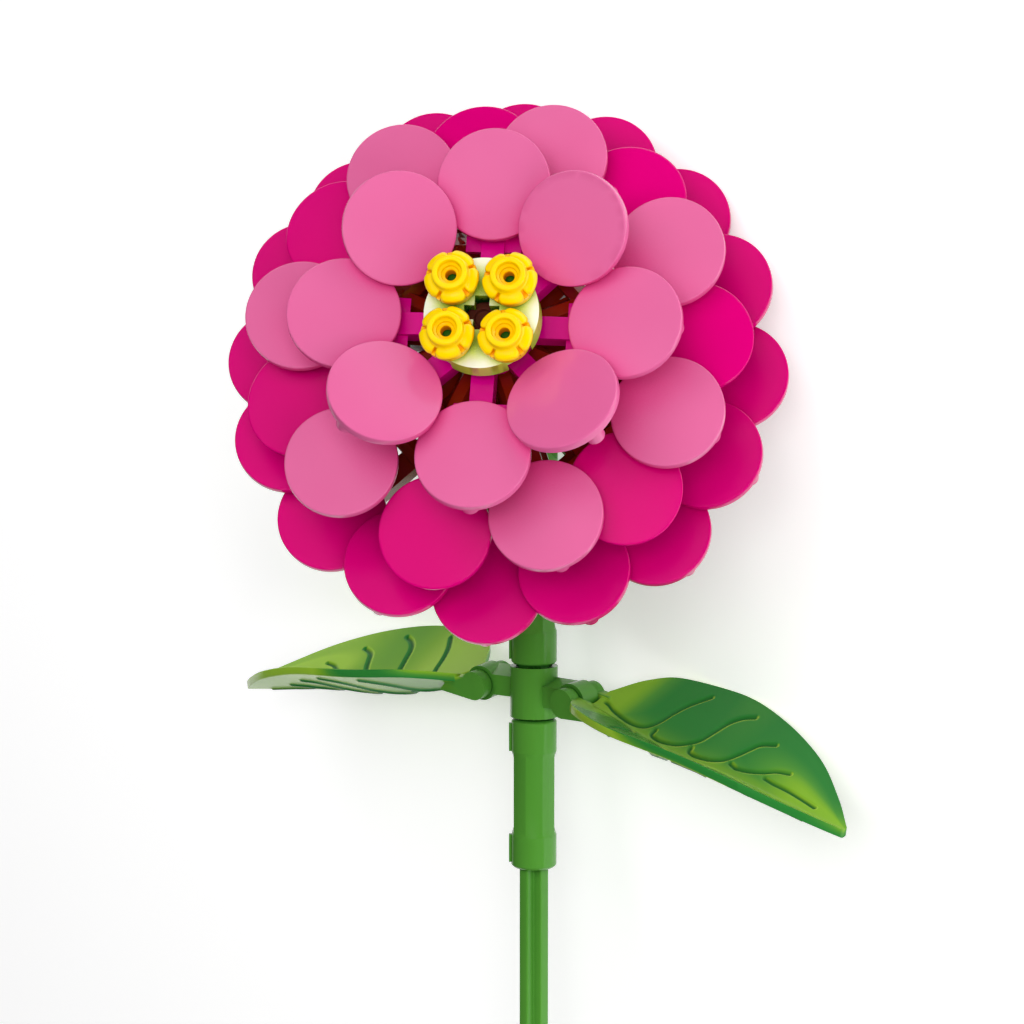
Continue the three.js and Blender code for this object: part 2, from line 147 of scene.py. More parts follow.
# Veins of one half of a leaf: (share of the length, share of the half width) from the midrib out.
# The points were listed from the photo and mapped onto the fitted blade.
VEINS = [
    [(0.025, 0.23), (0.065, 0.1), (0.115, 0.055), (0.155, 0.06), (0.19, 0.115), (0.21, 0.25),
     (0.222, 0.455), (0.24, 0.64), (0.272, 0.825)],
    [(0.225, 0.145), (0.228, 0.07), (0.255, 0.045), (0.292, 0.065), (0.33, 0.12), (0.37, 0.25),
     (0.385, 0.415), (0.4, 0.6), (0.425, 0.725), (0.458, 0.81)],
    [(0.37, 0.14), (0.378, 0.085), (0.413, 0.07), (0.46, 0.095), (0.498, 0.17), (0.52, 0.29),
     (0.537, 0.425), (0.555, 0.555), (0.596, 0.67)],
    [(0.525, 0.16), (0.558, 0.135), (0.598, 0.17), (0.64, 0.26), (0.672, 0.37), (0.712, 0.46)],
    [(0.66, 0.195), (0.702, 0.19), (0.755, 0.21), (0.81, 0.22), (0.865, 0.23)],
]
VEIN_DEPTH = 0.34
VEIN_HALF_WIDTH = 0.34
LEAF_RIM = 0.15                         # chamfer of the blade's edge
MIDRIB_SOFT = 0.3                       # rounds the fold along the midrib
BEVEL_ANGLE = math.radians(30)          # edges sharper than this are rounded

# ---------------------------------------------------------------- frames


def turn(axis, degrees):
    return Matrix.Rotation(math.radians(degrees), 4, axis)


def shift(x, y, z):
    return Matrix.Translation((x, y, z))


def euler_xyz(angles):
    x, y, z = angles
    return turn(X, x) @ turn(Y, y) @ turn(Z, z)


ELBOW_HEIGHT = COLLAR_HEIGHT / 2 + SLEEVE_LENGTH + ELBOW_ARM
AXLE_TOP = -COLLAR_HEIGHT / 2 - SLEEVE_LENGTH + AXLE_INSERT


def flower_frame():
    """The flower frame in the row frame, in mm: the CAD turn, placed by the stem axle's middle."""
    rest = turn(X, REST_TURN[0]) @ turn(Y, REST_TURN[1])
    low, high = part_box("stem_axle")
    middle = (low + high) / 2 / MM
    offset = middle - rest @ Vector((0, AXLE_TOP - STEM_AXLE_LENGTH / 2, 0))
    return Matrix.Translation(offset) @ rest


FLOWER = flower_frame()
HEAD_ROTATION = euler_xyz(HEAD_TURN)
HEAD_AXIS = HEAD_ROTATION @ Z
HEAD_PLACE = Vector((0, ELBOW_HEIGHT, 0)) + HEAD_AXIS * HEAD_REACH
HEAD = FLOWER @ Matrix.Translation(HEAD_PLACE) @ HEAD_ROTATION
ON_STEM = FLOWER @ turn(X, -90)

# ---------------------------------------------------------------- mesh helpers


def rounded(profile, steps=4):
    """[radius, z, corner radius] points with their corners rounded, as [radius, z] points."""
    out = []
    for i, (r, z, corner) in enumerate(profile):
        here = Vector((r, z))
        if corner == 0:
            out.append(here)
            continue
        before = (Vector(profile[i - 1][:2]) - here).normalized() * corner
        after = (Vector(profile[(i + 1) % len(profile)][:2]) - here).normalized() * corner
        for k in range(steps + 1):
            t = k / steps
            out.append(here + before * (1 - t) ** 2 + after * t ** 2)
    return [(p.x, p.y) for p in out]


def lathe(profile, segments=96, matrix=None, outline=None):
    """A closed round mesh about Z. outline(r, z, angle) may return another (r, z) for a point."""
    verts, faces, rows = [], [], []
    for r, z in profile:
        if r < 1e-6:
            rows.append([len(verts)])
            verts.append((0, 0, z))
            continue
        rows.append(list(range(len(verts), len(verts) + segments)))
        for k in range(segments):
            angle = 2 * math.pi * k / segments
            rr, zz = outline(r, z, angle) if outline else (r, z)
            verts.append((rr * math.cos(angle), rr * math.sin(angle), zz))
    for low, high in zip(rows, rows[1:]):
        for k in range(segments):
            n = (k + 1) % segments
            if len(low) == 1:
                faces.append((low[0], high[n], high[k]))
            elif len(high) == 1:
                faces.append((low[k], low[n], high[0]))
            else:
                faces.append((low[k], low[n], high[n], high[k]))
    return make_object(verts, faces, matrix)


def make_object(verts, faces, matrix=None):
    mesh = bpy.data.meshes.new("part")
    mesh.from_pydata(verts, [], faces)
    if matrix is not None:
        mesh.transform(matrix)
    obj = bpy.data.objects.new("part", mesh)
    bpy.context.scene.collection.objects.link(obj)
    return obj


def rod(radius, z0, z1, edge=0.0, segments=96, matrix=None):
    profile = [(0, z0, 0), (radius, z0, edge), (radius, z1, edge), (0, z1, 0)]
    return lathe(rounded(profile), segments, matrix)


def block(width, depth, height, matrix=None):
    w, d, h = width / 2, depth / 2, height / 2
    verts = [(x, y, z) for z in (-h, h) for y in (-d, d) for x in (-w, w)]
    faces = [(0, 2, 3, 1), (4, 5, 7, 6), (0, 1, 5, 4), (2, 6, 7, 3), (0, 4, 6, 2), (1, 3, 7, 5)]
    return make_object(verts, faces, matrix)


def prism(outline, z0, z1, matrix=None):
    """A straight prism over an anticlockwise outline of [x, y] points."""
    n = len(outline)
    verts = [(x, y, z) for z in (z0, z1) for x, y in outline]
    faces = [tuple(reversed(range(n))), tuple(range(n, 2 * n))]
    faces += [(i, (i + 1) % n, n + (i + 1) % n, n + i) for i in range(n)]
    return make_object(verts, faces, matrix)


def apply_modifiers(obj):
    bpy.context.view_layer.update()
    graph = bpy.context.evaluated_depsgraph_get()
    mesh = bpy.data.meshes.new_from_object(obj.evaluated_get(graph))
    obj.modifiers.clear()
    old = obj.data
    obj.data = mesh
    bpy.data.meshes.remove(old)
    return obj


def combine(obj, tools, operation):
    """Joins or cuts obj with each tool, which is used up."""
    for tool in tools:
        modifier = obj.modifiers.new("boolean", "BOOLEAN")
        modifier.operation = operation
        modifier.solver = "EXACT"
        modifier.object = tool
    apply_modifiers(obj)
    for tool in tools:
        bpy.data.objects.remove(tool)
    return obj


def join(obj, *tools):
    return combine(obj, tools, "UNION")


def cut(obj, *tools):
    return combine(obj, tools, "DIFFERENCE")


def add_bevel(obj, width, segments=3):
    modifier = obj.modifiers.new("bevel", "BEVEL")
    modifier.width = width
    modifier.segments = segments
    modifier.limit_method = "ANGLE"
    modifier.angle_limit = BEVEL_ANGLE


def bevelled(obj, width, segments=3):
    add_bevel(obj, width, segments)
    return apply_modifiers(obj)


def place(obj, name, matrix, slot_name, smooth=32):
    """Bakes a piece's place into its mesh, in metres, and puts it in place of its CAD node."""
    obj.name = name
    obj.data.name = name
    obj.data.transform(Matrix.Scale(MM, 4) @ matrix)
    obj.data.polygons.foreach_set("use_smooth", [True] * len(obj.data.polygons))
    obj.data.set_sharp_from_angle(angle=math.radians(smooth))
    obj.data.materials.clear()
    obj.data.materials.append(MATERIALS[slot_name])
    obj.data.update()
    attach(obj, "root")
    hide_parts(name_of_node(name))
    return obj


def name_of_node(piece_name):
    """A piece is called after its node, with _visual at the end."""
    return piece_name.removesuffix("_visual")


def copy_of(obj):
    twin = bpy.data.objects.new("part", obj.data.copy())
    bpy.context.scene.collection.objects.link(twin)
    return twin


def smooth_curve(points, count):
    """Catmull-Rom samples through a short list of points, as an array."""
    p = np.array(points, float)
    p = np.vstack([2 * p[0] - p[1], p, 2 * p[-1] - p[-2]])
    out = []
    spans = len(points) - 1
    for i in range(count):
        t = i / (count - 1) * spans
        k = min(int(t), spans - 1)
        w = t - k
        a, b, c, d = p[k], p[k + 1], p[k + 2], p[k + 3]
        out.append(0.5 * (2 * b + (c - a) * w + (2 * a - 5 * b + 4 * c - d) * w ** 2
                          + (3 * b - a - 3 * c + d) * w ** 3))
    return np.array(out)


def profile_curve(points):
    samples = smooth_curve(points, 121)
    return lambda share: np.interp(share, samples[:, 0], samples[:, 1])


# ---------------------------------------------------------------- materials


def plastic(name, colour, deep, painted_shade=None, reach=8.0, roughness=0.16, gloss_level=0.5):
    """Glossy moulded plastic: faint clouds of tone from deep to colour, painted shade in nooks
    within reach in mm, a little uneven gloss and a skin that isn't quite flat."""
    material = bpy.data.materials.new(name)
    material.use_nodes = True
    nodes, links = material.node_tree.nodes, material.node_tree.links
    shader = nodes["Principled BSDF"]
    shader.inputs["IOR"].default_value = 1.5
    shader.inputs["Specular IOR Level"].default_value = gloss_level

    place_of = nodes.new("ShaderNodeTexCoord")
    clouds = nodes.new("ShaderNodeTexNoise")
    clouds.inputs["Scale"].default_value = 60
    clouds.inputs["Detail"].default_value = 2
    links.new(place_of.outputs["Object"], clouds.inputs["Vector"])
    tone = colour_ramp(nodes, links, clouds.outputs["Fac"], [(0.3, deep), (0.7, colour)])
    # Painted shade: the darker shade colour fills the nooks that ambient occlusion finds.
    if painted_shade is not None:
        tone = mixed(nodes, links, openness(nodes, links, reach, 0.3, 0.85), painted_shade, tone)
    links.new(tone, shader.inputs["Base Color"])

    gloss = nodes.new("ShaderNodeMapRange")
    gloss.inputs["To Min"].default_value = roughness * 0.85
    gloss.inputs["To Max"].default_value = roughness * 1.15
    links.new(clouds.outputs["Fac"], gloss.inputs["Value"])
    links.new(gloss.outputs["Result"], shader.inputs["Roughness"])

    skin = nodes.new("ShaderNodeTexNoise")
    skin.inputs["Scale"].default_value = 900
    skin.inputs["Detail"].default_value = 3
    links.new(place_of.outputs["Object"], skin.inputs["Vector"])
    bump = nodes.new("ShaderNodeBump")
    bump.inputs["Strength"].default_value = 0.04
    bump.inputs["Distance"].default_value = 0.0001
    links.new(skin.outputs["Fac"], bump.inputs["Height"])
    links.new(bump.outputs["Normal"], shader.inputs["Normal"])
    return material


def openness(nodes, links, reach, low, high):
    """0 in tight nooks to 1 on open faces, looking as far as reach in mm; it sets painted shade."""
    nook = nodes.new("ShaderNodeAmbientOcclusion")
    nook.samples = 8
    nook.inputs["Distance"].default_value = reach * MM
    open_share = nodes.new("ShaderNodeMapRange")
    open_share.inputs["From Min"].default_value = low
    open_share.inputs["From Max"].default_value = high
    links.new(nook.outputs["AO"], open_share.inputs["Value"])
    return open_share.outputs["Result"]


def mixed(nodes, links, share, first, second):
    """first at a share of 0 and second at 1. Each is an (r, g, b) or a colour socket."""
    mix = nodes.new("ShaderNodeMix")
    mix.data_type = "RGBA"
    links.new(share, mix.inputs["Factor"])
    for socket_name, colour in (("A", first), ("B", second)):
        if isinstance(colour, tuple):
            mix.inputs[socket_name].default_value = (*colour, 1)
        else:
            links.new(colour, mix.inputs[socket_name])
    return mix.outputs["Result"]


def facing(nodes, links, direction, low, high, to_min=0.0):
    """to_min to 1 as the surface turns toward a direction of the row frame."""
    geometry = nodes.new("ShaderNodeNewGeometry")
    toward = nodes.new("ShaderNodeVectorMath")
    toward.operation = "DOT_PRODUCT"
    toward.inputs[1].default_value = direction.normalized()
    links.new(geometry.outputs["Normal"], toward.inputs[0])
    share = nodes.new("ShaderNodeMapRange")
    share.inputs["From Min"].default_value = low
    share.inputs["From Max"].default_value = high
    share.inputs["To Min"].default_value = to_min
    links.new(toward.outputs["Value"], share.inputs["Value"])
    return share.outputs["Result"]


def multiplied(nodes, links, first, second):
    product = nodes.new("ShaderNodeMath")
    product.operation = "MULTIPLY"
    links.new(first, product.inputs[0])
    links.new(second, product.inputs[1])
    return product.outputs["Value"]


def colour_ramp(nodes, links, share, stops):
    """Colours at shares from 0 to 1."""
    tones = nodes.new("ShaderNodeValToRGB")
    elements = tones.color_ramp.elements
    elements[0].position, elements[0].color = stops[0][0], (*stops[0][1], 1)
    elements[1].position, elements[1].color = stops[-1][0], (*stops[-1][1], 1)
    for position, colour in stops[1:-1]:
        elements.new(position).color = (*colour, 1)
    links.new(share, tones.inputs["Fac"])
    return tones.outputs["Color"]


def lime_plastic():
    """The centre plate's lime: a painted highlight, near white, on open faces turned the way the
    flower looks, lime on its sides, and painted shade, lime under the blossoms and dark green
    deep in the hole."""
    material = plastic("plate_lime", (0.8, 0.9, 0.6), (0.78, 0.89, 0.56))
    nodes, links = material.node_tree.nodes, material.node_tree.links
    # Painted highlight: faces turned toward the flower's face get the near-white end.
    top = facing(nodes, links, HEAD.to_3x3() @ Z, 0.2, 0.7, 0.4)
    share = multiplied(nodes, links, openness(nodes, links, 3.0, 0.15, 0.8), top)
    # From painted shade, dark green, through lime to a painted highlight, near white.
    colour = colour_ramp(nodes, links, share, [
        (0.0, (0.01, 0.12, 0.01)), (0.17, (0.05, 0.25, 0.01)), (0.34, (0.56, 0.80, 0.04)),
        (0.6, (0.70, 0.88, 0.22)), (0.85, (0.93, 0.98, 0.80))])
    links.new(colour, nodes["Principled BSDF"].inputs["Base Color"])
    return material


# Painted light: a leaf's surface is painted lighter and yellower the more it faces this direction
# of the flower frame, from the first share of it to the second, and darker and bluer turned away.
LEAF_SUN = Vector((-0.63, -0.08, -0.77))
LEAF_SHADE_LOW, LEAF_SHADE_HIGH = -0.303, -0.031
# Painted shade: the vein grooves are painted this darker green.
VEIN_SHADE_GREEN = (0.015, 0.13, 0.02)


def leaf_plastic():
    """Leaf green with painted light, from dark bluish on the far half of a blade to light yellowish
    on the undersides, yellower still where the blade is warm, painted shade in its veins, and stem
    green on the fingers. It reads the attributes that mark_leaf sets."""
    material = plastic("leaf_green", (0.085, 0.30, 0.036), (0.076, 0.28, 0.033),
                       roughness=0.22, gloss_level=0.12)
    nodes, links = material.node_tree.nodes, material.node_tree.links
    plain = nodes["Principled BSDF"].inputs["Base Color"].links[0].from_socket

    def value_of(name):
        attribute = nodes.new("ShaderNodeAttribute")
        attribute.attribute_name = name
        return attribute.outputs["Fac"]

    share = facing(nodes, links, FLOWER.to_3x3() @ LEAF_SUN, LEAF_SHADE_LOW, LEAF_SHADE_HIGH)
    warmer = nodes.new("ShaderNodeMath")
    warmer.operation = "MULTIPLY_ADD"
    links.new(value_of("warmth"), warmer.inputs[0])
    warmer.inputs[1].default_value = 0.75
    links.new(share, warmer.inputs[2])
    # Painted light and shade: dark bluish green turned away from LEAF_SUN, light yellow green
    # facing it.
    colour = colour_ramp(nodes, links, warmer.outputs["Value"], [
        (0.0, (0.026, 0.215, 0.035)), (0.35, (0.075, 0.29, 0.035)), (0.7, (0.20, 0.43, 0.025)),
        (1.0, (0.33, 0.58, 0.04))])
    # Painted shade in the vein grooves.
    colour = mixed(nodes, links, value_of("vein"), colour, VEIN_SHADE_GREEN)
    colour = mixed(nodes, links, value_of("blade"), plain, colour)
    links.new(colour, nodes["Principled BSDF"].inputs["Base Color"])
    return material


# The fourth colour of a plastic, with its reach in mm after it, is painted shade for its nooks.
MATERIALS = {
    "petal_light": plastic("petal_light", (0.74, 0.14, 0.34), (0.72, 0.125, 0.32),
                           (0.70, 0.03, 0.22), 12),
    "petal_magenta": plastic("petal_magenta", (0.68, 0.0, 0.18), (0.66, 0.0, 0.17),
                             (0.52, 0.0, 0.13), 12, gloss_level=0.3),
    "blossom_yellow": plastic("blossom_yellow", (1.0, 0.70, 0.0), (0.98, 0.67, 0.0),
                              (0.88, 0.32, 0.0), 2.0),
    "plate_lime": lime_plastic(),
    "arm_magenta": plastic("arm_magenta", (0.72, 0.0, 0.26), (0.68, 0.0, 0.24)),
    "rod_brown": plastic("rod_brown", (0.10, 0.02, 0.015), (0.08, 0.014, 0.01)),
    "inner_red": plastic("inner_red", (0.26, 0.014, 0.002), (0.21, 0.008, 0.001),
                         gloss_level=0.8),
    "stem_green": plastic("stem_green", (0.088, 0.31, 0.036), (0.078, 0.285, 0.032),
                          (0.02, 0.14, 0.012), 2, gloss_level=0.35),
    "leaf_green": leaf_plastic(),
}

# ---------------------------------------------------------------- petals


def petal_template():
    """A petal disc in its own frame: a slightly domed face, a fine rounded rim, a rimmed back with
    a round boss in the middle and a peg near the outer edge."""
    r, t, e = DISC_RADIUS, DISC_THICKNESS, DISC_EDGE
    face = [(r * k / 6 - (e if k == 6 else 0), -DISC_DOME * (k / 6) ** 2, 0)
            for k in range(6, -1, -1)]
    wall = r - 0.9
    recess = -t + 0.45
    boss_end = -t - BOSS_HEIGHT
    profile = [(0, boss_end, 0), (BOSS_RADIUS, boss_end, 0.2), (BOSS_RADIUS, recess, 0.25),
               (wall, recess, 0.2), (wall, -t, 0.12), (r, -t, 0.2), (r, -DISC_DOME, e)]
    disc = lathe(rounded(profile + face, 3), 112)
    peg = rod(PEG_RADIUS, -t - PEG_HEIGHT, -t / 2, 0.15, 40, shift(PEG_REACH, 0, 0))
    return join(disc, peg)


def make_petals():
    template = petal_template()
    for ring, slot_name, radius, height, lean, angles in RINGS:
        for index, angle in enumerate(angles):
            where = HEAD @ turn(Z, angle) @ shift(radius, 0, height) @ turn(Y, -lean)
            place(copy_of(template), f"{ring}_{index + 1}_visual", where, slot_name)
    bpy.data.objects.remove(template)


# ---------------------------------------------------------------- centre of the head


def make_center_plate():
    bottom = -PLATE_THICKNESS
    plate = rod(PLATE_RADIUS, bottom, 0, 0.0, 128)
    studs = []
    for k in range(4):
        where = turn(Z, 45 + 90 * k) @ shift(PITCH / math.sqrt(2), 0, 0)
        studs.append(rod(STUD_RADIUS, -GAP, STUD_HEIGHT, 0.0, 64, where))
    join(plate, *studs)
    tools = [rod(STUD_RADIUS + GAP, bottom - 1, -PLATE_TOP_WALL, 0, 64),
             block(CROSS_WIDTH, CROSS_ARM, 2 * PLATE_THICKNESS),
             block(CROSS_ARM, CROSS_WIDTH, 2 * PLATE_THICKNESS)]
    for k in range(4):
        where = turn(Z, 45 + 90 * k) @ shift(PLATE_RADIUS, 0, bottom + SKIRT_NOTCH_DEPTH / 2 - GAP)
        tools.append(block(3, 4.2, SKIRT_NOTCH_DEPTH, where))
    cut(plate, *tools)
    bevelled(plate, 0.14)
    place(plate, "center_plate_visual", HEAD @ shift(0, 0, PLATE_TOP), "plate_lime")


def notch_half_width(r):
    """Half the gap between two petals of a blossom, wider toward the rim."""
    return 0.17 + 0.2 * min(1, max(0, (r - 2.75) / 1.05))


def blossom_columns():
    """Directions round a blossom as [degrees of the nearest notch, side, kind, value]."""
    columns = []
    for notch in range(0, 360, 72):
        right = [("wall", 0.03), ("wall", 0.11), ("wall", 0.25)]
        right += [("petal", k / 12) for k in range(1, 12)]
        columns += [(notch, -1, "petal", 1.0)]
        columns += [(notch, -1, kind, value) for kind, value in reversed(right)]
        columns += [(notch, 1, "floor", value) for value in (-0.9, -0.3, 0.3, 0.9)]
        columns += [(notch, 1, kind, value) for kind, value in right]
    return columns


def blossom_point(r, z, column):
    """A point of the profile turned to its column: down on the body's top inside a notch, rounded
    beside it, and drawn in at the corners of the petals' ends."""
    notch, side, kind, value = column
    reach = max(r, 2.2)
    wall = notch_half_width(reach)
    if kind == "floor":
        angle = value * wall / reach
    elif kind == "wall":
        angle = (wall + value) / reach
    else:
        first = (wall + 0.25) / reach
        angle = first + (math.radians(36) - first) * value
    off = angle * reach - wall
    on_petal = z > BLOSSOM_BODY_TOP + 0.05 and r > BLOSSOM_RING + 0.12
    if kind == "floor" and on_petal:
        blend = min(1, (r - BLOSSOM_RING - 0.12) / 0.16)
        z += (BLOSSOM_BODY_TOP + 0.03 - z) * blend
        r = min(r, BLOSSOM_BODY - 0.04)
    elif kind == "floor":
        r = min(r, BLOSSOM_BODY)
    elif r > 3.3:
        r -= 0.34 * max(0, 1 - off / 0.75) ** 2 * min(1, (r - 3.3) / 0.4)
    if kind != "floor" and on_petal:
        z -= 0.15 * max(0, 1 - off / 0.2) ** 2 + 0.1 * max(0, 1 - off / 1.4)
    angle = math.radians(notch) + side * angle
    return r * math.cos(angle), r * math.sin(angle), z


def blossom_template():
    """Five rounded petals on a round body, with a narrow notch between each two, a tall ring with a
    stepped cup in it, and a hole through to the stud."""
    r, body, ring, high = BLOSSOM_RADIUS, BLOSSOM_BODY, BLOSSOM_RING, BLOSSOM_HEIGHT
    low, top, cup, hole = BLOSSOM_BODY_BOTTOM, BLOSSOM_BODY_TOP, BLOSSOM_CUP, BLOSSOM_HOLE
    socket = STUD_RADIUS + 0.2
    profile = rounded([
        (hole, STUD_HEIGHT + GAP, 0), (socket, STUD_HEIGHT + GAP, 0.1), (socket, GAP, 0.1),
        (BLOSSOM_BASE, GAP, 0.1), (BLOSSOM_BASE, low, 0.1), (body, low, 0.15), (body, top, 0.08),
        (r, top, 0.1), (r, top + 0.55, 0.32), (3.4, top + 0.82, 0.25), (3.1, top + 0.93, 0),
        (2.95, top + 0.97, 0), (2.82, top + 1.0, 0), (2.72, top + 1.03, 0), (2.62, top + 1.07, 0),
        (ring + 0.03, top + 1.2, 0.1), (ring, high, 0.28), (cup, high, 0.2),
        (cup - 0.07, high - 0.85, 0.12), (1.25, high - 1.0, 0.1), (1.2, high - 1.35, 0.1),
        (hole + 0.12, high - 1.45, 0.1), (hole, high - 1.6, 0.08)], 3)
    columns = blossom_columns()
    verts = [blossom_point(rr, zz, column) for column in columns for rr, zz in profile]
    faces = []
    n = len(profile)
    for k in range(len(columns)):
        m = (k + 1) % len(columns)
        for i in range(n):
            j = (i + 1) % n
            faces.append((k * n + i, m * n + i, m * n + j, k * n + j))
    return make_object(verts, faces)


def make_blossoms():
    template = blossom_template()
    for k in range(4):
        spot = turn(Z, 45 + 90 * k) @ Vector((PITCH / math.sqrt(2), 0, 0))
        spot += Vector((0, 0, PLATE_TOP))
        where = HEAD @ Matrix.Translation(spot) @ turn(Z, BLOSSOM_TURN)
        place(copy_of(template), f"blossom_{k + 1}_visual", where, "blossom_yellow", smooth=50)
    bpy.data.objects.remove(template)


# ---------------------------------------------------------------- neck and stem


def make_neck():
    r = NECK_ROD_RADIUS
    bottom = -(HEAD_REACH - ELBOW_CORE - GAP)
    top = PLATE_TOP - NECK_ROD_SINK
    profile = [(0, bottom, 0), (r, bottom, 0.3), (r, top, 0.35), (1.3, top, 0.1),
               (1.15, top - 0.5, 0.1), (0, top - 0.5, 0)]
    place(lathe(rounded(profile), 64), "neck_rod_visual", HEAD, "rod_brown")

    back = -(HEAD_REACH - ELBOW_ARM - GAP)
    sleeve = rod(ELBOW_RADIUS, back, NECK_SLEEVE_FRONT, 0.25, 96)
    cut(sleeve, rod(SLEEVE_BORE, back - 1, NECK_SLEEVE_FRONT + 1, 0, 64))
    place(sleeve, "neck_sleeve_visual", HEAD, "inner_red")


def make_elbow():
    """Two hollow arms on a round hub with a hole across it. Known fault: the mesh comes out
    without the arm toward the head, which the CAD elbow has."""
    down = turn(X, 90)
    along = Z.rotation_difference(HEAD_AXIS).to_matrix().to_4x4()
    hub = rod(ELBOW_RADIUS, -ELBOW_WIDTH / 2, ELBOW_WIDTH / 2, 0.0, 96, turn(Y, 90))
    join(hub, rod(ELBOW_RADIUS, 0, ELBOW_ARM, 0.0, 96, down),
         rod(ELBOW_RADIUS, 0, ELBOW_ARM, 0.0, 96, along))
    cut(hub, rod(STUD_RADIUS, -ELBOW_WIDTH, ELBOW_WIDTH, 0, 64, turn(Y, 90)),
        rod(SLEEVE_BORE, ELBOW_CORE, ELBOW_ARM + 1, 0, 64, down),
        rod(SLEEVE_BORE, ELBOW_CORE, ELBOW_ARM + 1, 0, 64, along))
    bevelled(hub, 0.15, 2)
    place(hub, "elbow_visual", FLOWER @ shift(0, ELBOW_HEIGHT, 0), "stem_green")


def sleeve(length):
    """A connector: round ends with sloping shoulders, an eight-sided waist and two small ribs."""
    r, slope = SLEEVE_RADIUS, SLEEVE_END + SLEEVE_CHAMFER
    lower = [(0, 0, 0), (r - 0.45, 0, 0.1), (r, 0.4, 0.15), (r, SLEEVE_END, 0.1), (3.1, slope, 0),
             (0, slope, 0)]
    upper = [(q, length - z, c) for q, z, c in reversed(lower)]
    body = lathe(rounded(lower), 96)
    octagon = [(WAIST_RADIUS * math.cos(math.radians(22.5 + 45 * k)),
                WAIST_RADIUS * math.sin(math.radians(22.5 + 45 * k))) for k in range(8)]
    ribs = []
    for low in (0.8, length - RIB_LENGTH - 0.8):
        where = shift(-(RIB_REACH + 3) / 2, 0, low + RIB_LENGTH / 2)
        ribs.append(block(RIB_REACH - 3, RIB_WIDTH, RIB_LENGTH, where))
    waist = prism(octagon, SLEEVE_END - 0.5, length - SLEEVE_END + 0.5)
    join(body, waist, lathe(rounded(upper), 96), *ribs)
    cut(body, rod(SLEEVE_BORE, -1, length + 1, 0, 64))
    return bevelled(body, 0.07, 2)


def make_stem():
    half = COLLAR_HEIGHT / 2
    lower = ON_STEM @ shift(0, 0, -half - SLEEVE_LENGTH)
    upper = ON_STEM @ shift(0, 0, half + GAP)
    place(sleeve(SLEEVE_LENGTH - GAP), "sleeve_lower_visual", lower, "stem_green")
    place(sleeve(SLEEVE_LENGTH - 2 * GAP), "sleeve_upper_visual", upper, "stem_green")

    w, a = AXLE_WIDTH / 2, AXLE_ARM / 2
    cross = [(w, -a), (w, a), (a, a), (a, w), (-a, w), (-a, a),
             (-w, a), (-w, -a), (-a, -a), (-a, -w), (a, -w), (a, -a)]
    axle = prism(cross, 0, STEM_AXLE_LENGTH, turn(Z, 45))
    bevelled(axle, 0.25, 3)
    axle_foot = ON_STEM @ shift(0, 0, AXLE_TOP - STEM_AXLE_LENGTH)
    place(axle, "stem_axle_visual", axle_foot, "stem_green")


# ---------------------------------------------------------------- collar and leaves


def hinge_arm(yaw, roll, height):
    """An arm with a sloping top from the collar to a round barrel on the hinge axis."""
    half = HINGE_WIDTH / 2 - FINGER_WIDTH - GAP
    start = SLEEVE_BORE + 0.4
    low, high, back = -ARM_THICKNESS / 2, ARM_THICKNESS / 2, BARREL_RADIUS - 0.25
    front = half if abs(yaw) < 90 else -half
    section = [(low, -front), (low, front), (high, front), (back, -front)]
    if front > 0:
        section.reverse()
    pose = shift(0, height, 0) @ turn(Y, yaw) @ turn(X, roll)
    upright = pose @ Matrix(((0, 0, 1, 0), (1, 0, 0, 0), (0, 1, 0, 0), (0, 0, 0, 1)))
    shank = prism(section, start, HINGE_REACH, upright)
    barrel = rod(BARREL_RADIUS, -half, half, 0, 64, pose @ shift(HINGE_REACH, 0, 0))
    return [shank, barrel]


def make_collar():
    half = COLLAR_HEIGHT / 2
    collar = rod(COLLAR_RADIUS, -half, half, 0, 96, turn(X, -90))
    arms = []
    for _, yaw, roll, _, height in LEAVES:
        arms += hinge_arm(yaw, roll, height)
    join(collar, *arms)
    cut(collar, rod(SLEEVE_BORE, -COLLAR_HEIGHT, COLLAR_HEIGHT, 0, 64, turn(X, 90)))
    bevelled(collar, 0.15, 3)
    place(collar, "leaf_collar_visual", FLOWER, "stem_green")


def vein_depth(along, across, half_width):
    """How deep the veins cut at points given in mm along the blade and across it."""
    depth = np.zeros_like(along)
    for vein in VEINS:
        curve = smooth_curve(vein, 80)
        x = curve[:, 0] * LEAF_LENGTH
        y = curve[:, 1] * half_width(np.clip(curve[:, 0], 0, 1))
        distance = np.full(along.shape, 1e9)
        for i in range(len(x)):
            distance = np.minimum(distance, np.hypot(along - x[i], np.abs(across) - y[i]))
        depth = np.maximum(depth, VEIN_DEPTH * np.exp(-(distance / VEIN_HALF_WIDTH) ** 3))
    return depth


def smooth_step(low, high, value):
    t = np.clip((value - low) / (high - low), 0, 1)
    return t * t * (3 - 2 * t)


def leaf_warmth(share, side, across):
    """How yellow the green is on a blade: at its base, along the midrib and toward the tip."""
    base = 1 - smooth_step(0.06, 0.17, share + 0 * across)
    midrib = 0.8 * np.exp(-(across / 2.6) ** 2)
    tip = smooth_step(0.5, 0.8, share) * (1 - smooth_step(0.35, 0.8, np.abs(side)))
    return np.clip(np.maximum(np.maximum(base, midrib), tip), 0, 1)


def fold_rise(across):
    """Distance from the midrib, rounded off close to it."""
    return np.sqrt(across ** 2 + MIDRIB_SOFT ** 2) - MIDRIB_SOFT


